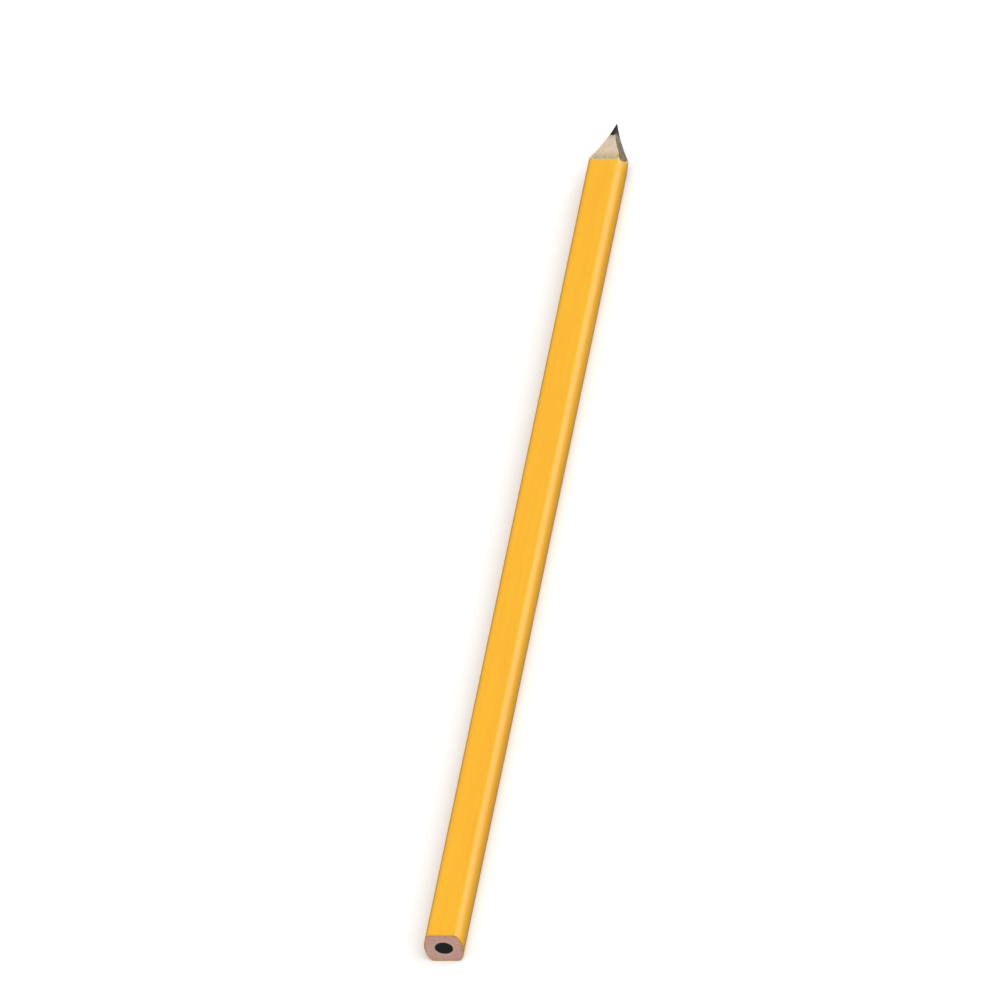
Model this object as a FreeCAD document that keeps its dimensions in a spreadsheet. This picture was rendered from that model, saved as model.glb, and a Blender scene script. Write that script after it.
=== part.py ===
"""Wood-cased carpenter pencil, sharpened with a knife to a slightly uneven point.

Millimetres. The pencil lies on one broad flat: +X runs along it from the butt to the point,
+Y across its width, +Z up through its thickness. The origin is the centre of the bottom of
its bounding box, so the axis of the graphite core is half a thickness above the origin.

A pencil is a sandwich. Two grooved wooden slats hold an oval graphite core, glue fills the
thin gaps between the three, and a primer and a colour lacquer wrap the outside. Each of
those pieces is cut from a full-length blank, and the same knife cuts then shape the point.
"""
import FreeCAD, Part
import math
import os

import Sketcher

# Driving dimensions: alias, value, what it measures. Lengths in mm, angles in degrees.
DIMENSIONS = [
    ("pencil_length", 300.0, "butt to worn tip"),
    ("pencil_width", 10.2, "across the two narrow sides"),
    ("pencil_thickness", 9.2, "across the two broad flats"),
    ("side_radius", 8.0, "shallow arc of each narrow side"),
    ("corner_radius", 1.4, "rounding between a flat and a narrow side"),
    ("lacquer_coat", 0.12, "thickness of the colour lacquer"),
    ("primer_coat", 0.10, "thickness of the primer under it"),
    ("core_width", 4.6, "oval graphite core, along the width"),
    ("core_thickness", 3.9, "oval graphite core, along the thickness"),
    ("glue_gap", 0.12, "glue between the slats and around the core"),
    ("flat_cut_overrun", 4.2, "from the worn tip to where the cuts through the flats meet"),
    ("flat_cut_slope", 11.5, "straight knife cut through each broad flat, to the axis"),
    ("side_cut_overrun", 0.63, "from the worn tip to where the side cuts meet"),
    ("side_cut_slope", 11.8, "side cuts where they meet, to the axis"),
    ("side_cut_turn", 29.3, "side cuts, turned about the axis from the width"),
    ("scoop_radius", 84.0, "hollow of a side cut, steeper towards the lacquer"),
    ("shoulder_overrun", 5.7, "from the worn tip to where the two shoulder cuts meet"),
    ("shoulder_slope", 13.0, "straight cut on each right-hand shoulder, to the axis"),
    ("shoulder_turn", 27.7, "shoulder cuts, turned about the axis from the width"),
    ("lead_overrun", 0.75, "from the worn tip to where the lead's two cuts meet"),
    ("lead_slope", 16.2, "lead dressed above and below, to the axis"),
    ("knife_block", 80.0, "size of the block that stands for one cut's waste"),
]

SKETCH_ORIGIN = (-1, 1)          # Sketcher's name for the origin point
SKETCH_AXIS = -1                 # and for the horizontal axis
START, END, CENTRE = 1, 2, 3     # Sketcher's names for the points of an arc

# Rough starting shapes for the sketches, mm; the bound dimensions replace all of them.
ROUGH_CENTRE, ROUGH_SIDE, ROUGH_CORNER, ROUGH_HALF, ROUGH_LEAN = 3.0, 8.0, 1.5, 4.5, 20.0
ROUGH_OVAL = (2.0, 1.5)

doc = FreeCAD.newDocument("carpenter_pencil")


def make_sheet():
    """The spreadsheet that every size below is bound to."""
    sheet = doc.addObject("Spreadsheet::Sheet", "Sizes")
    for row, (alias, value, meaning) in enumerate(DIMENSIONS, start=1):
        sheet.set(f"A{row}", alias)
        sheet.set(f"B{row}", str(value))
        sheet.set(f"C{row}", meaning)
        sheet.setAlias(f"B{row}", alias)
    doc.recompute()
    return sheet


def origin_plane(body, role):
    """One of a body's own origin planes, by its role."""
    return next(feature for feature in body.Origin.OriginFeatures if feature.Role == role)


def section_sketch(body):
    """An empty sketch across the pencil, on the body's own YZ plane."""
    sketch = body.newObject("Sketcher::SketchObject", f"{body.Name}_section")
    sketch.AttachmentSupport = [(origin_plane(body, "YZ_Plane"), "")]
    sketch.MapMode = "FlatFace"
    return sketch


def bind(sketch, name, constraint, expression):
    """Add a named dimension to a sketch and bind it to the sheet."""
    index = sketch.addConstraint(constraint)
    sketch.renameConstraint(index, name)
    sketch.setExpression(f"Constraints.{name}", expression)


def pad_along_pencil(body, sketch):
    """Pad a section the whole length of the pencil, and move it onto the pencil's axis."""
    pad = body.newObject("PartDesign::Pad", f"{body.Name}_pad")
    pad.Profile = sketch
    pad.setExpression("Length", "Sizes.pencil_length")
    sketch.Visibility = False
    body.setExpression("Placement.Base.x", "-Sizes.pencil_length / 2")
    body.setExpression("Placement.Base.z", "Sizes.pencil_thickness / 2")
    return body


def arc(centre_y, centre_z, radius, start, end):
    """An arc in a section sketch, anticlockwise, angles in degrees."""
    circle = Part.Circle(FreeCAD.Vector(centre_y, centre_z, 0), FreeCAD.Vector(0, 0, 1), radius)
    return Part.ArcOfCircle(circle, math.radians(start), math.radians(end))


def flat_line(from_y, to_y, height):
    """A straight broad flat in a section sketch."""
    return Part.LineSegment(FreeCAD.Vector(from_y, height, 0), FreeCAD.Vector(to_y, height, 0))


def barrel_blank(name, inset):
    """A full-length blank with the pencil's section, its skin moved in by an inset.

    The outline is two flats, two shallow side arcs and four corner arcs, all tangent. Every
    arc keeps its centre and loses the inset from its radius, so the skins nest evenly.
    """
    body = doc.addObject("PartDesign::Body", name)
    sketch = section_sketch(body)
    right, top_right, top, top_left, left, bottom_left, bottom, bottom_right = range(8)
    off, big, small, lean = ROUGH_CENTRE, ROUGH_SIDE, ROUGH_CORNER, ROUGH_LEAN
    sketch.addGeometry([
        arc(-off, 0, big, -lean, lean),
        arc(off, off, small, lean, 90),
        flat_line(off, -off, ROUGH_HALF),
        arc(-off, off, small, 90, 180 - lean),
        arc(off, 0, big, 180 - lean, 180 + lean),
        arc(-off, -off, small, 180 + lean, 270),
        flat_line(-off, off, -ROUGH_HALF),
        arc(off, -off, small, 270, 360 - lean)], False)
    outline = [right, top_right, top, top_left, left, bottom_left, bottom, bottom_right]
    for piece, following in zip(outline, outline[1:] + outline[:1]):
        sketch.addConstraint(Sketcher.Constraint("Tangent", piece, END, following, START))
    for flat in (top, bottom):
        sketch.addConstraint(Sketcher.Constraint("Horizontal", flat))
    for corner in (top_left, bottom_left, bottom_right):
        sketch.addConstraint(Sketcher.Constraint("Equal", top_right, corner))
    sketch.addConstraint(Sketcher.Constraint("Equal", right, left))
    for side in (right, left):
        sketch.addConstraint(
            Sketcher.Constraint("PointOnObject", side, CENTRE, SKETCH_AXIS))

    centre_offset = "Sizes.side_radius - Sizes.pencil_width / 2"
    half_thickness = f"Sizes.pencil_thickness / 2 - ({inset})"
    bind(sketch, "right_centre",
         Sketcher.Constraint("DistanceX", right, CENTRE, *SKETCH_ORIGIN, off), centre_offset)
    bind(sketch, "left_centre",
         Sketcher.Constraint("DistanceX", *SKETCH_ORIGIN, left, CENTRE, off), centre_offset)
    bind(sketch, "side_arc",
         Sketcher.Constraint("Radius", right, big), f"Sizes.side_radius - ({inset})")
    bind(sketch, "corner_arc",
         Sketcher.Constraint("Radius", top_right, small), f"Sizes.corner_radius - ({inset})")
    bind(sketch, "top_flat",
         Sketcher.Constraint("DistanceY", *SKETCH_ORIGIN, top, START, ROUGH_HALF), half_thickness)
    bind(sketch, "bottom_flat",
         Sketcher.Constraint("DistanceY", bottom, START, *SKETCH_ORIGIN, ROUGH_HALF),
         half_thickness)
    return pad_along_pencil(body, sketch)


def oval_blank(name, growth):
    """A full-length oval rod: the graphite core's section, grown all round."""
    body = doc.addObject("PartDesign::Body", name)
    sketch = section_sketch(body)
    long_half, short_half = ROUGH_OVAL
    oval = sketch.addGeometry(Part.Ellipse(
        FreeCAD.Vector(long_half, 0, 0), FreeCAD.Vector(0, short_half, 0),
        FreeCAD.Vector(0, 0, 0)), False)
    sketch.exposeInternalGeometry(oval)
    long_axis, short_axis = oval + 1, oval + 2
    sketch.addConstraint(Sketcher.Constraint("Coincident", oval, CENTRE, *SKETCH_ORIGIN))
    sketch.addConstraint(Sketcher.Constraint("Horizontal", long_axis))
    bind(sketch, "oval_width",
         Sketcher.Constraint("Distance", long_axis, 2 * long_half),
         f"Sizes.core_width + 2 * ({growth})")
    bind(sketch, "oval_thickness",
         Sketcher.Constraint("Distance", short_axis, 2 * short_half),
         f"Sizes.core_thickness + 2 * ({growth})")
    return pad_along_pencil(body, sketch)


def aim(tool, corner, overrun, slope, turn):
    """Lean a tool to the axis by the slope, then turn it about the axis from +Y.

    The tool leans about the point on the axis one overrun beyond the tip; corner is the
    tool's own origin, measured from that point before it leans.
    """
    about_axis = f"create(<<rotation>>; create(<<vector>>; 1; 0; 0); {turn})"
    lean = f"create(<<rotation>>; create(<<vector>>; 0; 0; 1); -({slope}))"
    apex = (f"create(<<vector>>; Sizes.pencil_length / 2 + {overrun}; 0;"
            " Sizes.pencil_thickness / 2)")
    turned = f"{about_axis} * {lean}"
    offset = "create(<<vector>>; {}; {}; {})".format(*corner)
    tool.setExpression(
        "Placement", f"create(<<placement>>; {apex} + {turned} * {offset}; {turned})")
    return tool


def straight_cut(name, overrun, slope, turn):
    """The waste outside one flat knife cut."""
    block = doc.addObject("Part::Box", name)
    for side in ("Length", "Width", "Height"):
        block.setExpression(side, "Sizes.knife_block")
    corner = ("-Sizes.knife_block / 2", "0", "-Sizes.knife_block / 2")
    return aim(block, corner, overrun, slope, turn)


def scooped_cut(name, overrun, slope, turn):
    """The waste outside one slightly hollow knife cut: a wide cylinder across the pencil."""
    cylinder = doc.addObject("Part::Cylinder", name)
    cylinder.setExpression("Radius", "Sizes.scoop_radius")
    cylinder.setExpression("Height", "Sizes.knife_block")
    centre = ("0", "Sizes.scoop_radius", "-Sizes.knife_block / 2")
    return aim(cylinder, centre, overrun, slope, turn)


def point_waste():
    """Everything the knife takes away.

    Six long cuts, two more on the right-hand shoulders, the lead's own two and the worn tip.
    """
    cuts = []
    for place, turn in {"top": "90", "bottom": "270"}.items():
        cuts.append(straight_cut(f"{place}_cut", "Sizes.flat_cut_overrun",
                                 "Sizes.flat_cut_slope", turn))
        cuts.append(straight_cut(f"{place}_lead_cut", "Sizes.lead_overrun",
                                 "Sizes.lead_slope", turn))
    side_turns = {
        "upper_left": "Sizes.side_cut_turn", "lower_left": "-Sizes.side_cut_turn",
        "upper_right": "180 - Sizes.side_cut_turn", "lower_right": "180 + Sizes.side_cut_turn",
    }
    for place, turn in side_turns.items():
        cuts.append(scooped_cut(f"{place}_cut", "Sizes.side_cut_overrun",
                                "Sizes.side_cut_slope", turn))
    shoulder_turns = {"upper_right": "180 - Sizes.shoulder_turn",
                      "lower_right": "180 + Sizes.shoulder_turn"}
    for place, turn in shoulder_turns.items():
        cuts.append(straight_cut(f"{place}_shoulder", "Sizes.shoulder_overrun",
                                 "Sizes.shoulder_slope", turn))
    tip = doc.addObject("Part::Box", "worn_tip")
    for side in ("Length", "Width", "Height"):
        tip.setExpression(side, "Sizes.knife_block")
    tip.setExpression("Placement.Base.x", "Sizes.pencil_length / 2")
    tip.setExpression("Placement.Base.y", "-Sizes.knife_block / 2")
    tip.setExpression("Placement.Base.z", "(Sizes.pencil_thickness - Sizes.knife_block) / 2")
    waste = doc.addObject("Part::MultiFuse", "point_waste")
    waste.Shapes = cuts + [tip]
    return waste


def half_space(name, from_y, to_y, from_z, to_z):
    """A box the whole length of the pencil, its height measured from the core's axis."""
    box = doc.addObject("Part::Box", name)
    box.setExpression("Length", "Sizes.pencil_length")
    box.setExpression("Width", f"({to_y}) - ({from_y})")
    box.setExpression("Height", f"({to_z}) - ({from_z})")
    box.setExpression("Placement.Base.x", "-Sizes.pencil_length / 2")
    box.setExpression("Placement.Base.y", from_y)
    box.setExpression("Placement.Base.z", f"Sizes.pencil_thickness / 2 + ({from_z})")
    return box


def cut(name, base, tool):
    """One solid with another taken away."""
    result = doc.addObject("Part::Cut", name)
    result.Base, result.Tool = base, tool
    return result


def common(name, first, second):
    """Where two solids overlap."""
    result = doc.addObject("Part::MultiCommon", name)
    result.Shapes = [first, second]
    return result


def sharpened(label, blank, waste):
    """A finished sub-part: its full-length blank with the point cut on it."""
    piece = cut(label, blank, waste)
    piece.Label = label
    return piece


def make_core(waste):
    """The oval graphite core, dressed a little steeper than the wood above and below."""
    return sharpened("graphite_core", oval_blank("core_blank", "0"), waste)


def make_core_bond(waste):
    """The thin sleeve of glue that holds the core in the two grooves."""
    ring = cut("bond_blank", oval_blank("groove_blank", "Sizes.glue_gap"),
               oval_blank("bond_inside", "0"))
    return sharpened("core_bond", ring, waste)


def make_slats(waste):
    """The upper and lower wooden slat, each with half of the groove for the core."""
    half_width, half_glue = "Sizes.pencil_width / 2", "Sizes.glue_gap / 2"
    outside = "Sizes.pencil_thickness"
    wood_inset = "Sizes.lacquer_coat + Sizes.primer_coat"
    spaces = {
        "upper_slat": (half_glue, outside),
        "lower_slat": (f"-{outside}", f"-{half_glue}"),
    }
    slats = []
    for label, (from_z, to_z) in spaces.items():
        space = half_space(f"{label}_space", f"-{half_width}", half_width, from_z, to_z)
        plank = common(f"{label}_plank", barrel_blank(f"{label}_stock", wood_inset), space)
        grooved = cut(f"{label}_grooved", plank,
                      oval_blank(f"{label}_groove", "Sizes.glue_gap"))
        slats.append(sharpened(label, grooved, waste))
    return slats


def make_glue_lines(waste):
    """The two strips of glue between the slats, one each side of the core."""
    half_width, half_glue = "Sizes.pencil_width / 2", "Sizes.glue_gap / 2"
    wood_inset = "Sizes.lacquer_coat + Sizes.primer_coat"
    sides = {"glue_line_left": ("0", half_width), "glue_line_right": (f"-{half_width}", "0")}
    strips = []
    for label, (from_y, to_y) in sides.items():
        space = half_space(f"{label}_space", from_y, to_y, f"-{half_glue}", half_glue)
        layer = common(f"{label}_layer", barrel_blank(f"{label}_stock", wood_inset), space)
        strip = cut(f"{label}_strip", layer, oval_blank(f"{label}_groove", "Sizes.glue_gap"))
        strips.append(sharpened(label, strip, waste))
    return strips


def make_coats(waste):
    """The primer on the wood and the colour lacquer over it, open at both ends."""
    skins = {
        "primer_coat": ("Sizes.lacquer_coat", "Sizes.lacquer_coat + Sizes.primer_coat"),
        "colour_lacquer": ("0", "Sizes.lacquer_coat"),
    }
    coats = []
    for label, (outer_inset, inner_inset) in skins.items():
        shell = cut(f"{label}_shell", barrel_blank(f"{label}_outside", outer_inset),
                    barrel_blank(f"{label}_inside", inner_inset))
        coats.append(sharpened(label, shell, waste))
    return coats


def check_and_write(pieces):
    """Refuse a failed object or an unsound shape, then write one STEP file per piece."""
    doc.recompute()
    for item in doc.Objects:
        if "Invalid" in item.State or "Error" in item.State:
            raise RuntimeError(f"{item.Name} failed: {item.State}")
    for piece in pieces:
        shape = piece.Shape
        if shape.isNull() or not shape.isValid() or len(shape.Solids) != 1:
            raise RuntimeError(f"{piece.Label} is not one sound solid")
    os.makedirs("parts", exist_ok=True)
    for piece in pieces:
        piece.Shape.exportStep(f"parts/{piece.Label}.step")
        box = piece.Shape.optimalBoundingBox(False, False)
        print(f"{piece.Label}: {piece.Shape.Volume:.2f} mm3, "
              f"{box.XLength:.2f} x {box.YLength:.2f} x {box.ZLength:.2f} mm")


make_sheet()
knife_waste = point_waste()
check_and_write([
    make_core(knife_waste),
    make_core_bond(knife_waste),
    *make_slats(knife_waste),
    *make_glue_lines(knife_waste),
    *make_coats(knife_waste),
])
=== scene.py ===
import math

import bmesh
import bpy
import numpy as np
from mathutils import Matrix, Vector, noise


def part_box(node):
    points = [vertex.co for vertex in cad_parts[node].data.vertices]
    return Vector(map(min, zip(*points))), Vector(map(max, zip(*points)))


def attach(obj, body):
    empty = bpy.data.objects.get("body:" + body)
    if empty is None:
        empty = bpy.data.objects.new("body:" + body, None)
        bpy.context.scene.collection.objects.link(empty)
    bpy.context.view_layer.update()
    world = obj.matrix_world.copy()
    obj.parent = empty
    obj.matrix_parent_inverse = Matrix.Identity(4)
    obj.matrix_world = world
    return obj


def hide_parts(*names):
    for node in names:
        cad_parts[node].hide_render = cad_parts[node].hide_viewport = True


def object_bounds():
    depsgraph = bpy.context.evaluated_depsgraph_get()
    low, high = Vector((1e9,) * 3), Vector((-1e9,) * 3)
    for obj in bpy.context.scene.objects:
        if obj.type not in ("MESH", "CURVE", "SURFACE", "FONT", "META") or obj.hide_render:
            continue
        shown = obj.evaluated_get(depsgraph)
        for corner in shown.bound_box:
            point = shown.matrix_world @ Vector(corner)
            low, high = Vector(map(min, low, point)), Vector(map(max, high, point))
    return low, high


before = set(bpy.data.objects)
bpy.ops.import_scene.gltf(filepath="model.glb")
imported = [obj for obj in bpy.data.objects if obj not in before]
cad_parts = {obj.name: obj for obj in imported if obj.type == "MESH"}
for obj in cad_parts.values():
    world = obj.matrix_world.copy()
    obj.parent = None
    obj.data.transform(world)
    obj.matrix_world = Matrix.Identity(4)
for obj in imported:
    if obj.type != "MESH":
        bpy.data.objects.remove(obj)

MM = 0.001
cad_low, cad_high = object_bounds()

# ---------------------------------------------------------------- sizes, from the frame
HALF_WIDTH = (cad_high.y - cad_low.y) / 2
HALF_THICKNESS = (cad_high.z - cad_low.z) / 2
BUTT, TIP = cad_low.x, cad_high.x
AXIS_HEIGHT = (cad_low.z + cad_high.z) / 2

core_low, core_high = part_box("graphite_core")
CORE_HALF_WIDTH = (core_high.y - core_low.y) / 2
CORE_HALF_THICKNESS = (core_high.z - core_low.z) / 2

# the same values as in the CAD's spreadsheet
SIDE_RADIUS = 8.0 * MM
CORNER_RADIUS = 1.4 * MM
LACQUER_COAT = 0.12 * MM
PRIMER_COAT = 0.10 * MM
GLUE_GAP = 0.12 * MM
FLAT_CUT_OVERRUN, FLAT_CUT_SLOPE = 4.2 * MM, math.radians(11.5)
LEAD_OVERRUN, LEAD_SLOPE = 0.75 * MM, math.radians(16.2)
SIDE_CUT_OVERRUN, SIDE_CUT_SLOPE = 0.63 * MM, math.radians(11.8)
SIDE_CUT_TURN = math.radians(29.3)
SCOOP_RADIUS = 84.0 * MM
SHOULDER_OVERRUN, SHOULDER_SLOPE = 5.7 * MM, math.radians(13.0)
SHOULDER_TURN = math.radians(27.7)
WOOD_INSET = LACQUER_COAT + PRIMER_COAT

# how finely the lofts are divided
COLUMNS_ROUND = 720
LACQUER_RINGS = 129
WOOD_CUT_RINGS, WOOD_BUTT_RINGS = 61, 25
LEAD_CUT_RINGS, LEAD_BUTT_RINGS = 41, 13
WELD_DISTANCE = 0.0005 * MM
SLIVER_LENGTH = 0.0002 * MM
SHARP_ANGLE = math.radians(28)

# how far the lead's and the wood's ridges are worn round
WOOD_WEAR, LEAD_WEAR = 0.012 * MM, 0.04 * MM

# ---------------------------------------------------------------- section and knife cuts


def barrel_radius(angle, inset):
    """Distance from the axis to the barrel's skin, moved in by an inset, at an angle."""
    across, up = np.abs(np.cos(angle)), np.abs(np.sin(angle))
    side_centre = HALF_WIDTH - SIDE_RADIUS
    corner_up = HALF_THICKNESS - CORNER_RADIUS
    corner_across = side_centre + math.sqrt((SIDE_RADIUS - CORNER_RADIUS) ** 2 - corner_up**2)
    lean = math.atan2(corner_up, corner_across - side_centre)
    arc = SIDE_RADIUS - inset
    flat_from = math.atan2(HALF_THICKNESS - inset, corner_across)
    corner_from = math.atan2(arc * math.sin(lean), side_centre + arc * math.cos(lean))

    def circle(centre_across, centre_up, radius):
        """Distance from the axis, at the angle, to the far side of one of the outline's arcs."""
        along = centre_across * across + centre_up * up
        gap = centre_across**2 + centre_up**2 - radius**2
        return along + np.sqrt(np.maximum(along**2 - gap, 0))

    folded = np.arctan2(up, across)
    flat = (HALF_THICKNESS - inset) / np.maximum(up, 1e-9)
    corner = circle(corner_across, corner_up, CORNER_RADIUS - inset)
    side = circle(side_centre, 0.0, arc)
    return np.where(folded > flat_from, flat, np.where(folded > corner_from, corner, side))


def core_radius(angle, growth=0.0):
    """Distance from the axis to the oval core's surface at an angle."""
    across = np.cos(angle) / (CORE_HALF_WIDTH + growth)
    up = np.sin(angle) / (CORE_HALF_THICKNESS + growth)
    return 1 / np.sqrt(across**2 + up**2)


def straight_cut(out, overrun, slope):
    """X on a flat cut, at a distance out from the axis towards the knife."""
    return TIP + overrun - out / math.tan(slope)


def scooped_cut(out, overrun, slope):
    """X on a slightly hollow cut, at a distance out from the axis towards the knife."""
    centre_x = TIP + overrun + SCOOP_RADIUS * math.sin(slope)
    centre_out = SCOOP_RADIUS * math.cos(slope)
    span = np.maximum(SCOOP_RADIUS**2 - (out - centre_out) ** 2, 0)
    return centre_x - np.sqrt(span)


def knife_reach(angle, radius, worn=WOOD_WEAR):
    """How far along X the sharpened surface lies at an angle and distance from the axis.

    Two straight cuts lean through each broad flat, one for the wood and one for the lead.
    Four slightly hollow cuts shape the sides, and two straight ones trim the shoulders on the
    -Y side. Worn rounds the ridges where they meet.
    """
    left, up, right, down = 0, math.pi / 2, math.pi, 3 * math.pi / 2
    cuts = [(straight_cut, turn, overrun, slope) for turn in (up, down)
            for overrun, slope in ((FLAT_CUT_OVERRUN, FLAT_CUT_SLOPE),
                                   (LEAD_OVERRUN, LEAD_SLOPE))]
    cuts += [(scooped_cut, middle + lean, SIDE_CUT_OVERRUN, SIDE_CUT_SLOPE)
             for middle in (left, right) for lean in (-SIDE_CUT_TURN, SIDE_CUT_TURN)]
    cuts += [(straight_cut, right + lean, SHOULDER_OVERRUN, SHOULDER_SLOPE)
             for lean in (-SHOULDER_TURN, SHOULDER_TURN)]
    heights = [cut(radius * np.cos(angle - turn), overrun, slope)
               for cut, turn, overrun, slope in cuts]
    heights = np.stack(np.broadcast_arrays(*heights))
    lowest = heights.min(axis=0)
    soft = lowest - worn * np.log(np.exp(-(heights - lowest) / worn).sum(axis=0))
    return np.minimum(soft, TIP)


# ---------------------------------------------------------------- meshes


def ripple(points, size, seed):
    """Smooth noise between -1 and 1 at points, each feature about size across."""
    shift = seed * Vector((17.3, 5.1, 9.7))  # far enough apart for each seed's own pattern
    sizes = Vector(size)
    heights = [noise.noise(Vector((p[0] / sizes.x, p[1] / sizes.y, p[2] / sizes.z)) + shift)
               for p in points.reshape(-1, 3)]
    return np.array(heights).reshape(points.shape[:-1])


def at(angle, x, radius):
    """Points in the frame from angle, distance along X and distance from the axis."""
    angle, x, radius = np.broadcast_arrays(angle, x, radius)
    return np.stack([x, radius * np.cos(angle), AXIS_HEIGHT + radius * np.sin(angle)], axis=-1)


def loft(name, columns, zones, materials, round_axis, closed_profile):
    """A mesh through columns of profile points, one column for every angle.

    Zones gives each profile step's material index. Round_axis joins the last column to the
    first; without it the first and last columns are filled in as faces. Closed_profile joins
    the last point of each column to its first.
    """
    across, along = columns.shape[:2]
    verts = [tuple(p) for p in columns.reshape(-1, 3)]
    faces, slots = [], []
    for i in range(across if round_axis else across - 1):
        j = (i + 1) % across
        for k in range(along if closed_profile else along - 1):
            m = (k + 1) % along
            faces.append((i * along + k, i * along + m, j * along + m, j * along + k))
            slots.append(zones[k])
    if not round_axis:
        faces.append(tuple(range(along)))
        faces.append(tuple((across - 1) * along + k for k in reversed(range(along))))
        slots += [0, 0]
    mesh = bpy.data.meshes.new(name)
    mesh.from_pydata(verts, [], faces)
    for material in materials:
        mesh.materials.append(material)
    mesh.polygons.foreach_set("material_index", slots)
    shape = bmesh.new()
    shape.from_mesh(mesh)
    bmesh.ops.remove_doubles(shape, verts=shape.verts, dist=WELD_DISTANCE)
    bmesh.ops.dissolve_degenerate(shape, edges=shape.edges, dist=SLIVER_LENGTH)
    bmesh.ops.recalc_face_normals(shape, faces=shape.faces)
    shape.to_mesh(mesh)
    shape.free()
    mesh.shade_smooth()
    mesh.set_sharp_from_angle(angle=SHARP_ANGLE)
    piece = bpy.data.objects.new(name, mesh)
    bpy.context.scene.collection.objects.link(piece)
    return piece


# ---------------------------------------------------------------- material building blocks


class Nodes:
    """A small wrapper that adds linked shader nodes to one material."""

    def __init__(self, name):
        self.material = bpy.data.materials.new(name)
        self.material.use_nodes = True
        self.tree = self.material.node_tree
        self.tree.nodes.clear()
        self.output = self.tree.nodes.new("ShaderNodeOutputMaterial")
        self.shader = self.tree.nodes.new("ShaderNodeBsdfPrincipled")
        self.tree.links.new(self.shader.outputs[0], self.output.inputs["Surface"])
        self.place = self.add("ShaderNodeTexCoord").outputs["Object"]

    def add(self, kind, inputs=None, **settings):
        """A new node, with its settings made and its inputs fed."""
        node = self.tree.nodes.new(kind)
        for key, value in settings.items():
            setattr(node, key, value)
        for key, value in (inputs or {}).items():
            self.feed(node.inputs[key], value)
        return node

    def feed(self, socket, value):
        """Link another node's output to a socket, or set the socket to a plain value."""
        if isinstance(value, bpy.types.NodeSocket):
            self.tree.links.new(value, socket)
        else:
            socket.default_value = value

    def maths(self, operation, a, b=0.0):
        """One sum on one or two numbers."""
        return self.add("ShaderNodeMath", {0: a, 1: b}, operation=operation).outputs[0]

    def shifted(self, shift=(0, 0, 0), scale=(1, 1, 1)):
        """The place moved by a shift, then stretched by a scale."""
        moved = self.add("ShaderNodeVectorMath", {0: self.place, 1: shift}, operation="ADD")
        return self.add("ShaderNodeVectorMath", {0: moved.outputs[0], 1: scale},
                        operation="MULTIPLY").outputs[0]

    def axis(self, name, shift=(0, 0, 0)):
        """X, Y or Z of the place, moved by a shift."""
        return self.add("ShaderNodeSeparateXYZ", {0: self.shifted(shift)}).outputs[name]

    def noise(self, scale, detail=4.0, roughness=0.5, shift=(0, 0, 0)):
        """Noise with features 1/scale across along each axis."""
        return self.add("ShaderNodeTexNoise", {
            "Vector": self.shifted(shift, scale), "Scale": 1.0, "Detail": detail,
            "Roughness": roughness}).outputs["Fac"]

    def range(self, value, from_low, from_high, to_low=0.0, to_high=1.0):
        """A value carried from one range to another, and held at its ends."""
        return self.add("ShaderNodeMapRange", {
            "Value": value, "From Min": from_low, "From Max": from_high,
            "To Min": to_low, "To Max": to_high}).outputs[0]

    def mix(self, share, first, second):
        """The first colour where the share is 0, and the second where it is 1."""
        node = self.add("ShaderNodeMix", data_type="RGBA")
        self.feed(node.inputs[0], share)
        self.feed(node.inputs[6], first)
        self.feed(node.inputs[7], second)
        return node.outputs[2]

    def bump(self, height, distance, strength=1.0, normal=None):
        """The surface's normal with a height pressed into it, on top of any earlier one."""
        inputs = {"Height": height, "Distance": distance, "Strength": strength}
        if normal is not None:
            inputs["Normal"] = normal
        return self.add("ShaderNodeBump", inputs).outputs[0]

    def finish(self, **values):
        """Set the shader's inputs, named with underscores, and give the finished material."""
        for key, value in values.items():
            self.feed(self.shader.inputs[key.replace("_", " ")], value)
        return self.material


def rgb(red, green, blue):
    """An opaque colour."""
    return (red, green, blue, 1.0)


def per_mm(x, y, z):
    """Texture scale from feature sizes in millimetres."""
    return (1 / (x * MM), 1 / (y * MM), 1 / (z * MM))


# ---------------------------------------------------------------- materials

LACQUER_COLOUR = rgb(0.775, 0.385, 0.006)
LACQUER_DEEP = rgb(0.770, 0.340, 0.008)
LACQUER_PALE = rgb(0.770, 0.430, 0.003)
LACQUER_SPECK = rgb(0.42, 0.21, 0.02)
LACQUER_SCUFF = rgb(0.46, 0.26, 0.04)

WOOD_EARLY, WOOD_LATE = rgb(0.61, 0.505, 0.36), rgb(0.46, 0.34, 0.22)
WOOD_PINK = rgb(0.60, 0.455, 0.42)
WOOD_FIBRE = rgb(0.42, 0.315, 0.21)
WOOD_PORE = rgb(0.34, 0.24, 0.15)
WOOD_STREAK = rgb(0.40, 0.30, 0.18)
# a darker khaki tone for the wood along the skin
WOOD_SKIN_BAND = rgb(0.30, 0.235, 0.075)
# painted shadow: a red-brown edge in the wood under the skin, on the cuts that face -Y
PAINTED_EDGE_SHADOW = rgb(0.16, 0.055, 0.025)
# painted shade: near black over the cuts that face -Y
PAINTED_SHADE = rgb(0.085, 0.068, 0.036)
LEAD_DUST = rgb(0.10, 0.095, 0.09)

END_EARLY, END_LATE = rgb(0.88, 0.49, 0.41), rgb(0.55, 0.26, 0.17)
END_WORN = rgb(0.90, 0.64, 0.52)
END_CELL = rgb(0.44, 0.22, 0.15)
END_PINK = rgb(0.84, 0.41, 0.42)
END_SOAKED = rgb(0.62, 0.30, 0.13)
END_HALO = rgb(0.80, 0.60, 0.50)

LEAD_DARK, LEAD_LIGHT = rgb(0.005, 0.0053, 0.0056), rgb(0.015, 0.015, 0.016)
LEAD_SAWN = rgb(0.026, 0.032, 0.036)
WOOD_DUST_DARK, WOOD_DUST_LIGHT = rgb(0.11, 0.095, 0.07), rgb(0.28, 0.245, 0.175)

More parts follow.
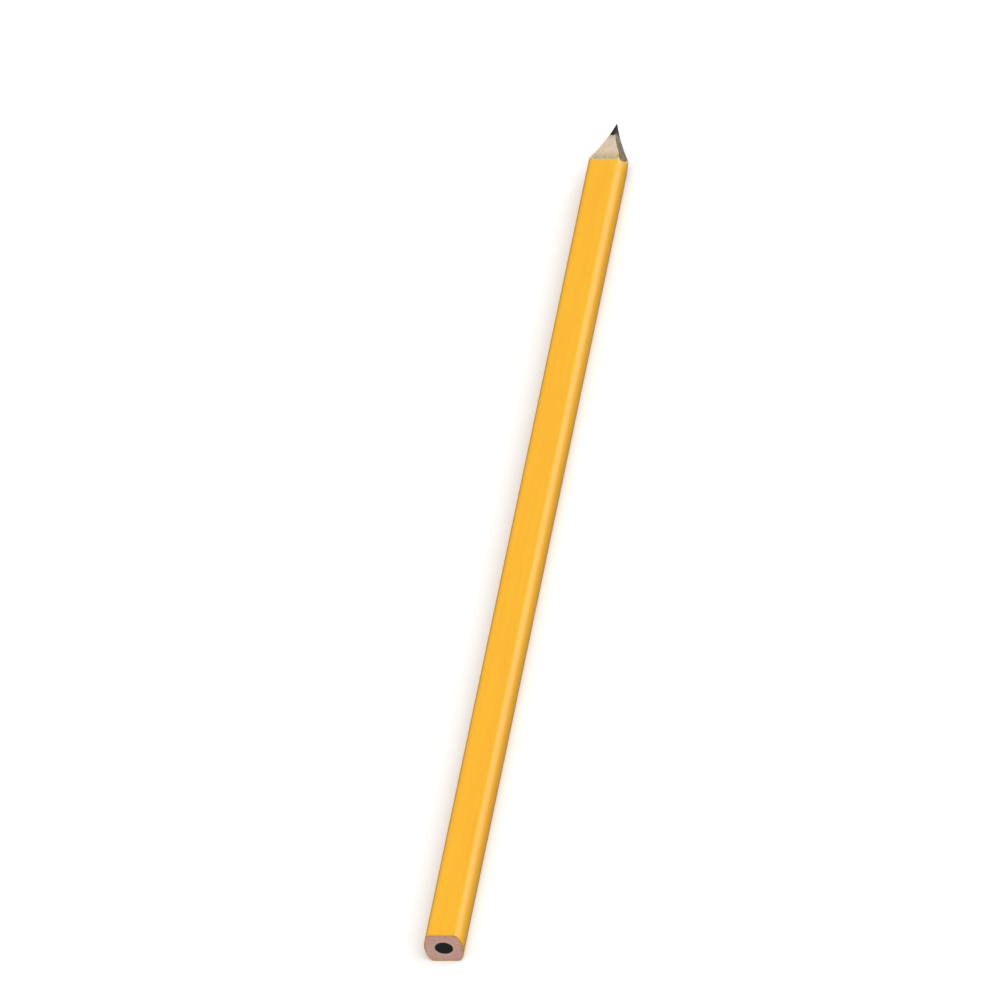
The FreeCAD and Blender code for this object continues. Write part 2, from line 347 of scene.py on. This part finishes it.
PRIMER_DARK, PRIMER_LIGHT = rgb(0.52, 0.38, 0.10), rgb(0.64, 0.47, 0.15)
WOOD_GLUE_THIN, WOOD_GLUE_THICK = rgb(0.62, 0.38, 0.28), rgb(0.76, 0.48, 0.36)
CORE_GLUE_THIN, CORE_GLUE_THICK = rgb(0.22, 0.17, 0.12), rgb(0.34, 0.26, 0.18)
PAPER_DARK, PAPER_LIGHT = rgb(0.93, 0.93, 0.93), rgb(0.95, 0.95, 0.95)

RING_SPACING = 1.15 * MM


def lacquer_material():
    """Glossy warm yellow lacquer: drifting tone, specks, orange peel, scratches, a rubbed butt."""
    n = Nodes("yellow_lacquer")
    drift = n.noise(per_mm(55, 3.2, 3.2), detail=3, roughness=0.6)
    bands = n.noise(per_mm(18, 1.2, 1.2), detail=2, shift=(0.2, 0.6, 0.4))
    colour = n.mix(n.range(drift, 0.35, 0.70, 0.0, 0.75), LACQUER_COLOUR, LACQUER_DEEP)
    colour = n.mix(n.range(bands, 0.45, 0.75, 0.0, 0.30), colour, LACQUER_PALE)
    specks = n.noise(per_mm(0.45, 0.35, 0.35), detail=2, shift=(0.8, 0.1, 0.7))
    colour = n.mix(n.range(specks, 0.72, 0.80, 0.0, 0.35), colour, LACQUER_SPECK)
    rubbed = n.range(n.axis("X"), BUTT, BUTT + 1.2 * MM, 1.0, 0.0)
    scuff = n.noise(per_mm(0.5, 0.6, 0.6), detail=5, roughness=0.7, shift=(0.4, 0.9, 0.1))
    scuffed = n.maths("MULTIPLY", rubbed, n.range(scuff, 0.45, 0.62, 0.0, 0.6))
    colour = n.mix(scuffed, colour, LACQUER_SCUFF)
    peel = n.noise(per_mm(1.6, 1.0, 1.0), detail=2)
    grain = n.noise(per_mm(14, 0.35, 0.35), detail=3, shift=(0.3, 0.1, 0.2))
    hairs = n.noise(per_mm(6.0, 0.05, 0.05), detail=2, shift=(0.1, 0.7, 0.3))
    rub = n.noise(per_mm(3.0, 0.5, 0.5), detail=6, roughness=0.7, shift=(0.7, 0.2, 0.5))
    bump = n.bump(peel, 0.012 * MM)
    bump = n.bump(grain, 0.010 * MM, normal=bump)
    bump = n.bump(n.range(hairs, 0.68, 0.78), 0.004 * MM, normal=bump)
    roughness = n.range(rub, 0.3, 0.75, 0.28, 0.42)
    return n.finish(Base_Color=colour, Roughness=roughness, Normal=bump,
                    Coat_Weight=0.10, Coat_Roughness=0.22, Specular_IOR_Level=0.42)


def ring_phase(n, pith):
    """Growth rings: how many spacings a place lies from the pith, gently wavering."""
    flat = n.shifted((0, -pith[0], -pith[1]), (0, 1, 1))
    distance = n.add("ShaderNodeVectorMath", {0: flat}, operation="LENGTH").outputs["Value"]
    waver = n.noise(per_mm(60, 3.5, 3.5), detail=2)
    return n.maths("ADD", n.maths("DIVIDE", distance, RING_SPACING),
                   n.maths("MULTIPLY", waver, 0.9))


def latewood(n, phase):
    """0 in the pale early wood of a ring, rising to 1 in its dark late wood."""
    share = n.maths("FRACT", phase)
    rise = n.range(share, 0.35, 0.92)
    fall = n.range(share, 0.92, 1.0, 1.0, 0.0)
    return n.maths("MINIMUM", rise, fall)


def from_axis(n):
    """Distance of a place from the pencil's axis, in metres."""
    flat = n.shifted((0, 0, -AXIS_HEIGHT), (0, 1, 1))
    return n.add("ShaderNodeVectorMath", {0: flat}, operation="LENGTH").outputs["Value"]


def near_skin(n, full, gone):
    """1 less than full below the barrel's skin, falling to 0 at gone below it."""
    across = n.maths("ABSOLUTE", n.axis("Y"))
    up = n.maths("ABSOLUTE", n.axis("Z", (0, 0, -AXIS_HEIGHT)))
    side = n.range(across, HALF_WIDTH - gone, HALF_WIDTH - full)
    flat = n.range(up, HALF_THICKNESS - gone, HALF_THICKNESS - full)
    return n.maths("MAXIMUM", side, flat)


def facing(n, axis, none, full):
    """0 where the surface's normal has the value none along an axis, rising to 1 at full."""
    normal = n.add("ShaderNodeSeparateXYZ", {0: n.add("ShaderNodeTexCoord").outputs["Normal"]})
    return n.range(normal.outputs[axis], none, full)


def faces_minus_y(n):
    """1 on the cuts that face -Y, the shaded side of the point, whose wood is painted darker as
    shade.
    """
    return facing(n, "Y", -0.35, -0.70)


def cut_wood_material(name, pith):
    """Knife-cut softwood along the grain: rings, fibres, pores, darker khaki edges along the skin,
    and painted shade on the cuts that face -Y.
    """
    n = Nodes(name)
    late = latewood(n, ring_phase(n, pith))
    fibre = n.noise(per_mm(12, 0.075, 0.075), detail=6, roughness=0.7)
    pores = n.noise(per_mm(1.6, 0.06, 0.06), detail=2, shift=(0.5, 0.2, 0.6))
    streak = n.noise(per_mm(14, 0.55, 0.55), detail=3, shift=(0.6, 0.3, 0.2))
    blotch = n.noise(per_mm(5, 1.6, 1.6), detail=2, shift=(0.1, 0.4, 0.2))
    colour = n.mix(n.range(late, 0, 1, 0.0, 0.25), WOOD_EARLY, WOOD_LATE)
    colour = n.mix(n.range(blotch, 0.40, 0.60, 0.0, 0.70), colour, WOOD_PINK)
    colour = n.mix(n.range(fibre, 0.44, 0.66, 0.0, 0.50), colour, WOOD_FIBRE)
    colour = n.mix(n.range(pores, 0.62, 0.70, 0.0, 0.55), colour, WOOD_PORE)
    colour = n.mix(n.range(streak, 0.48, 0.68, 0.0, 0.38), colour, WOOD_STREAK)
    # A darker khaki band in the wood along the skin, patchy along the streaks.
    skin_band = n.maths("MULTIPLY", near_skin(n, 0.4 * MM, 1.0 * MM),
                    n.range(streak, 0.30, 0.62, 0.90, 0.25))
    colour = n.mix(skin_band, colour, WOOD_SKIN_BAND)
    # Painted shade: the cuts that face -Y are darkened towards near black, patchy along the
    # streaks.
    shaded_side = faces_minus_y(n)
    shade_strength = n.range(streak, 0.30, 0.62, 0.95, 0.68)
    colour = n.mix(n.maths("MULTIPLY", shaded_side, shade_strength), colour, PAINTED_SHADE)
    # Painted shadow: a red-brown band in the wood just under the skin on the cuts that face -Y, at
    # the paint's cut edge.
    soak_and_edge_shadow = n.maths("MULTIPLY", shaded_side, near_skin(n, 0.30 * MM, 0.62 * MM))
    colour = n.mix(n.maths("MULTIPLY", soak_and_edge_shadow, 0.8), colour, PAINTED_EDGE_SHADOW)
    near_core = n.range(from_axis(n), 2.1 * MM, 2.8 * MM, 0.55, 0.0)
    smear = n.noise(per_mm(1.5, 0.4, 0.4), detail=4, shift=(0.2, 0.9, 0.3))
    colour = n.mix(n.maths("MULTIPLY", near_core, smear), colour, LEAD_DUST)
    bump = n.bump(fibre, 0.035 * MM)
    bump = n.bump(pores, 0.015 * MM, strength=-1.0, normal=bump)
    chatter = n.noise(per_mm(0.35, 4, 4), detail=2, shift=(0.5, 0.5, 0.1))
    bump = n.bump(chatter, 0.008 * MM, normal=bump)
    roughness = n.range(fibre, 0.2, 0.8, 0.70, 0.88)
    return n.finish(Base_Color=colour, Roughness=roughness, Normal=bump,
                    Specular_IOR_Level=0.12)


def end_grain_material(name, pith):
    """The sawn butt: rings, open cells, saw marks, a rim darkened by lacquer soaking in, and a
    pale halo at the core.
    """
    n = Nodes(name)
    late = latewood(n, ring_phase(n, pith))
    cells = n.add("ShaderNodeTexVoronoi", {
        "Vector": n.shifted((0, 0, 0), per_mm(3.0, 0.11, 0.11)), "Scale": 1.0},
        feature="DISTANCE_TO_EDGE").outputs["Distance"]
    patch = n.noise(per_mm(2, 1.4, 1.4), detail=4, shift=(0.3, 0.2, 0.8))
    worn = n.noise(per_mm(2, 2.2, 2.2), detail=5, roughness=0.6, shift=(0.9, 0.6, 0.1))
    saw = n.noise(per_mm(2, 6.0, 0.22), detail=3, shift=(0.8, 0.2, 0.6))
    late = n.maths("MULTIPLY", late, n.range(worn, 0.35, 0.65, 0.15, 0.55))
    colour = n.mix(late, END_EARLY, END_LATE)
    colour = n.mix(n.range(worn, 0.48, 0.66, 0.0, 0.7), colour, END_WORN)
    colour = n.mix(n.range(cells, 0.0, 0.12, 0.35, 0.0), colour, END_CELL)
    colour = n.mix(n.range(patch, 0.4, 0.7, 0.0, 0.5), colour, END_PINK)
    soak_and_edge_shadow = n.maths("MULTIPLY", near_skin(n, 0.4 * MM, 1.0 * MM),
                     n.range(worn, 0.35, 0.60, 0.60, 0.10))
    colour = n.mix(soak_and_edge_shadow, colour, END_SOAKED)
    out = from_axis(n)
    halo = n.maths("MULTIPLY", n.range(out, 1.9 * MM, 2.2 * MM),
                   n.range(out, 2.5 * MM, 3.2 * MM, 1.0, 0.0))
    colour = n.mix(n.maths("MULTIPLY", halo, 0.5), colour, END_HALO)
    bump = n.bump(saw, 0.05 * MM)
    bump = n.bump(cells, 0.01 * MM, normal=bump)
    roughness = n.range(patch, 0.2, 0.8, 0.72, 0.88)
    return n.finish(Base_Color=colour, Roughness=roughness, Normal=bump)


def graphite_material():
    """Fired graphite and clay: near black with fine scores, and greyer where it is sawn.

    On the cuts that face -Y, wood dust is smeared over the lead behind its tip.
    """
    n = Nodes("graphite")
    grit = n.noise(per_mm(0.12, 0.12, 0.12), detail=6, roughness=0.7)
    scores = n.noise(per_mm(2.5, 0.08, 0.08), detail=3, shift=(0.4, 0.2, 0.9))
    colour = n.mix(grit, LEAD_DARK, LEAD_LIGHT)
    saw = n.noise(per_mm(1, 3.0, 0.12), detail=3, shift=(0.2, 0.7, 0.3))
    sawn = n.maths("MULTIPLY", facing(n, "X", -0.5, -0.8), n.range(saw, 0.40, 0.62, 0.25, 1.0))
    colour = n.mix(sawn, colour, LEAD_SAWN)
    dust = n.noise(per_mm(2.2, 0.10, 0.10), detail=6, roughness=0.75, shift=(0.3, 0.1, 0.8))
    front = n.maths("ADD", n.axis("X", (-TIP, 0, 0)),
                    n.range(dust, 0.30, 0.70, -1.1 * MM, 1.1 * MM))
    smear = n.range(front, -5.6 * MM, -4.1 * MM, 0.92, 0.0)
    dusty = n.mix(n.range(dust, 0.36, 0.64), WOOD_DUST_DARK, WOOD_DUST_LIGHT)
    colour = n.mix(n.maths("MULTIPLY", faces_minus_y(n), smear), colour, dusty)
    bump = n.bump(scores, 0.02 * MM)
    bump = n.bump(grit, 0.012 * MM, normal=bump)
    bump = n.bump(n.maths("MULTIPLY", sawn, saw), 0.03 * MM, normal=bump)
    roughness = n.range(scores, 0.25, 0.75, 0.42, 0.62)
    return n.finish(Base_Color=colour, Roughness=roughness, Normal=bump, Metallic=0.10,
                    Specular_IOR_Level=0.20)


def primer_material():
    """Matt filler between wood and lacquer, seen as a thin edge."""
    n = Nodes("primer")
    chalk = n.noise(per_mm(0.4, 0.4, 0.4), detail=5)
    colour = n.mix(chalk, PRIMER_DARK, PRIMER_LIGHT)
    return n.finish(Base_Color=colour, Roughness=0.7, Normal=n.bump(chalk, 0.01 * MM))


def glue_material(name, thin, thick):
    """Dried wood glue, cloudy between a thin and a thick tone, with painted shade where it faces
    -Y, as on the wood.
    """
    n = Nodes(name)
    cloud = n.noise(per_mm(0.8, 0.3, 0.3), detail=4)
    colour = n.mix(cloud, thin, thick)
    # Painted shade on the glue where it faces -Y.
    colour = n.mix(n.maths("MULTIPLY", faces_minus_y(n), 0.85), colour, PAINTED_SHADE)
    return n.finish(Base_Color=colour, Roughness=0.45, Normal=n.bump(cloud, 0.01 * MM))


def floor_material():
    """Nearly white matt paper."""
    n = Nodes("floor_paper")
    fine = n.noise(per_mm(30, 30, 30), detail=3)
    colour = n.mix(fine, PAPER_DARK, PAPER_LIGHT)
    return n.finish(Base_Color=colour, Roughness=0.9)


# ---------------------------------------------------------------- pieces


def full_turn():
    """Every angle round the axis, as a column."""
    return np.linspace(0, 2 * math.pi, COLUMNS_ROUND, endpoint=False)[:, None]


def ride_root(piece, node):
    """Put a piece in a CAD node's place, on the part's one body."""
    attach(piece, "root")
    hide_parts(node)
    return piece


def make_lacquer():
    """The lacquer: a thin tube with a softened rim at the butt and a ragged knife's edge."""
    rim, raggedness, unevenness = 0.04 * MM, 0.05 * MM, 0.006 * MM
    turn = full_turn()
    outer, inner = barrel_radius(turn, 0.0), barrel_radius(turn, LACQUER_COAT)
    ragged = raggedness * ripple(at(turn, 0.0, outer), (0.3 * MM,) * 3, 3)
    end = knife_reach(turn, outer) + ragged
    share = np.linspace(0, 1, LACQUER_RINGS)[None, :]
    wall_x = (BUTT + rim) + (end - BUTT - rim) * share
    sway = ripple(at(turn, wall_x, outer), (12 * MM, 3 * MM, 3 * MM), 5)
    wall = at(turn, wall_x, outer + (sway - 1) * unevenness)
    from_point_to_butt = np.array([[1.0, 0.0]])
    inside_x = BUTT + (knife_reach(turn, inner) - BUTT) * from_point_to_butt
    inside = at(turn, inside_x, inner)
    rim_ring = at(turn, BUTT, outer - rim)
    columns = np.concatenate([wall, inside, rim_ring], axis=1)
    zones = [0] * columns.shape[1]
    return loft("lacquer_skin", columns, zones, [lacquer_material()], True, True)


def make_slat(name, side, pith, seed):
    """One wooden slat: the knife-cut point, the sawn butt and the walls between.

    Side is 1 for the slat above the glue and -1 for the one below it. Its columns fan out
    from one parting face to the other, half the glue's thickness off the core's axis.
    """
    shave_depth, fibre_depth, saw_depth = 0.018 * MM, 0.006 * MM, 0.02 * MM
    start = 0 if side > 0 else math.pi
    fan = np.linspace(0, 1, COLUMNS_ROUND // 2 + 1)[:, None]
    half_glue = GLUE_GAP / 2

    def turned(radius):
        """Each column's angle, leaning so that the first and last keep off the glue."""
        lean = np.arcsin(half_glue / radius)
        return start + lean + (math.pi - 2 * lean) * fan

    evenly = start + math.pi * fan
    outer = barrel_radius(turned(barrel_radius(evenly, WOOD_INSET)), WOOD_INSET)
    inner = core_radius(turned(core_radius(evenly, GLUE_GAP)), GLUE_GAP)
    cut_radius = inner + (outer - inner) * np.linspace(1, 0, WOOD_CUT_RINGS)[None, :]
    turn = turned(cut_radius)
    cut = at(turn, knife_reach(turn, cut_radius), cut_radius)
    shave = ripple(cut, (5 * MM, 1.1 * MM, 1.1 * MM), seed)
    fibres = ripple(cut, (4 * MM, 0.22 * MM, 0.22 * MM), seed + 1)
    lift = shave_depth * shave + fibre_depth * fibres
    cut[..., 1] += lift * np.cos(turn)
    cut[..., 2] += lift * np.sin(turn)
    butt_radius = inner + (outer - inner) * np.linspace(0, 1, WOOD_BUTT_RINGS)[None, :]
    butt = at(turned(butt_radius), BUTT, butt_radius)
    saw = ripple(butt, (1 * MM, 3 * MM, 0.25 * MM), seed + 2)
    butt[..., 0] += saw_depth * (1 + saw)
    columns = np.concatenate([cut, butt], axis=1)
    height = np.maximum(side * (columns[..., 2] - AXIS_HEIGHT), half_glue)
    height[[0, -1]] = half_glue
    columns[..., 2] = AXIS_HEIGHT + side * height
    zones = [0] * cut.shape[1] + [1] * (butt.shape[1] - 1) + [0]
    materials = [cut_wood_material(f"{name}_cut", pith), end_grain_material(f"{name}_end", pith)]
    return loft(name, columns, zones, materials, False, True)


def make_core():
    """The graphite core: flush at the butt, dressed to a slightly worn point."""
    dish_depth, shave_depth = 0.015 * MM, 0.012 * MM
    turn = full_turn()
    edge = core_radius(turn)
    butt_share = np.linspace(0, 1, LEAD_BUTT_RINGS)[None, :]
    butt = at(turn, BUTT, edge * butt_share)
    dish = ripple(butt, (1 * MM, 0.7 * MM, 0.7 * MM), 21)
    butt[..., 0] += dish_depth * (1 + dish)
    cut_share = np.linspace(1, 0, LEAD_CUT_RINGS)[None, :]
    cut_radius = edge * cut_share
    cut = at(turn, knife_reach(turn, cut_radius, worn=LEAD_WEAR), cut_radius)
    off_tip = np.minimum(cut_share * 4, 1)
    shave = ripple(cut, (1.2 * MM, 0.5 * MM, 0.5 * MM), 23) * off_tip
    cut[..., 1] += shave_depth * shave * np.cos(turn)
    cut[..., 2] += shave_depth * shave * np.sin(turn)
    columns = np.concatenate([butt, cut], axis=1)
    zones = [0] * columns.shape[1]
    return loft("graphite_rod", columns, zones, [graphite_material()], True, False)


def dress_cad_nodes():
    """Materials for the thin CAD pieces that keep their own shapes."""
    glue = glue_material("wood_glue", WOOD_GLUE_THIN, WOOD_GLUE_THICK)
    bond = glue_material("core_glue", CORE_GLUE_THIN, CORE_GLUE_THICK)
    finishes = {"primer_coat": primer_material(), "core_bond": bond,
                "glue_line_left": glue, "glue_line_right": glue}
    for node, material in finishes.items():
        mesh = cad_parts[node].data
        mesh.materials.clear()
        mesh.materials.append(material)


# ---------------------------------------------------------------- stage

LIGHT_DISTANCE = 6.0
FLOOR_REACH = 12.0


def make_floor():
    """A plain pale floor at the height of the pencil's resting flat.

    It is hidden from diffuse and glossy rays, so that it doesn't tint the pencil's sides.
    """
    mesh = bpy.data.meshes.new("floor")
    shape = bmesh.new()
    bmesh.ops.create_grid(shape, x_segments=2, y_segments=2, size=FLOOR_REACH)
    shape.to_mesh(mesh)
    shape.free()
    mesh.materials.append(floor_material())
    floor = bpy.data.objects.new("floor", mesh)
    floor.location.z = cad_low.z
    floor.visible_diffuse = floor.visible_glossy = False
    bpy.context.scene.collection.objects.link(floor)


def direction(azimuth, elevation):
    """Unit vector towards an azimuth (0 is -Y, 90 is +X) and elevation, in degrees."""
    a, e = math.radians(azimuth), math.radians(elevation)
    return Vector((math.sin(a) * math.cos(e), -math.cos(a) * math.cos(e), math.sin(e)))


def make_camera():
    """A very long lens, so that the pencil's sides look parallel."""
    view_from = direction(-73.4, 43.42)
    roll = -11.53
    lens, frame_width = 1200.0, 256.1 * MM
    shift_right, shift_up = -8.06 * MM, 8.01 * MM
    data = bpy.data.cameras.new("camera")
    data.lens, data.sensor_width = lens, 36.0
    camera = bpy.data.objects.new("camera", data)
    bpy.context.scene.collection.objects.link(camera)
    turned = view_from.to_track_quat("Z", "Y").to_matrix()
    turned = turned @ Matrix.Rotation(math.radians(roll), 3, "Z")
    right, up = turned.col[0], turned.col[1]
    distance = frame_width * lens / data.sensor_width
    middle = (cad_low + cad_high) / 2
    place = middle + view_from * distance + right * shift_right + up * shift_up
    camera.matrix_world = Matrix.Translation(place) @ turned.to_4x4()
    data.clip_start, data.clip_end = 0.1, 100.0
    bpy.context.scene.camera = camera


def area_light(name, towards, spread, strength):
    """A soft square light that faces the pencil from a direction.

    Spread is its width over its distance, and strength its power over its distance squared,
    so that the light on the pencil doesn't depend on LIGHT_DISTANCE.
    """
    data = bpy.data.lights.new(name, "AREA")
    data.shape, data.size = "SQUARE", spread * LIGHT_DISTANCE
    data.energy = strength * LIGHT_DISTANCE**2
    lamp = bpy.data.objects.new(name, data)
    lamp.location = towards * LIGHT_DISTANCE
    lamp.rotation_euler = towards.to_track_quat("Z", "Y").to_euler()
    bpy.context.scene.collection.objects.link(lamp)


def make_world():
    """A white surround that dims from a little above the horizon to well below it."""
    horizon_low, horizon_high, dim, bright = -0.25, 0.05, 0.12, 0.62
    world = bpy.data.worlds.new("studio")
    world.use_nodes = True
    tree = world.node_tree
    background = tree.nodes["Background"]
    background.inputs["Color"].default_value = rgb(1.0, 1.0, 1.0)
    sky = tree.nodes.new("ShaderNodeTexCoord")
    height = tree.nodes.new("ShaderNodeSeparateXYZ")
    fade = tree.nodes.new("ShaderNodeMapRange")
    for key, value in {"From Min": horizon_low, "From Max": horizon_high, "To Min": dim,
                       "To Max": bright}.items():
        fade.inputs[key].default_value = value
    tree.links.new(sky.outputs["Generated"], height.inputs[0])
    tree.links.new(height.outputs["Z"], fade.inputs["Value"])
    tree.links.new(fade.outputs[0], background.inputs["Strength"])
    bpy.context.scene.world = world
    bpy.context.scene.view_settings.view_transform = "Standard"


def make_lights():
    """A large high key light, and a low card facing each narrow side."""
    area_light("key", direction(-55, 60), 1.2, 7.7)
    area_light("side_card", direction(38, 10), 1.19, 9.4)
    area_light("back_card", direction(165, 8), 0.80, 3.8)


# the middle of each slat's growth rings: Y and Z in the frame
UPPER_PITH = (9 * MM, -14 * MM)
LOWER_PITH = (-16 * MM, 6 * MM)

make_camera()
ride_root(make_lacquer(), "colour_lacquer")
ride_root(make_slat("upper_wood", 1, UPPER_PITH, 31), "upper_slat")
ride_root(make_slat("lower_wood", -1, LOWER_PITH, 41), "lower_slat")
ride_root(make_core(), "graphite_core")
dress_cad_nodes()
make_floor()
make_lights()
make_world()
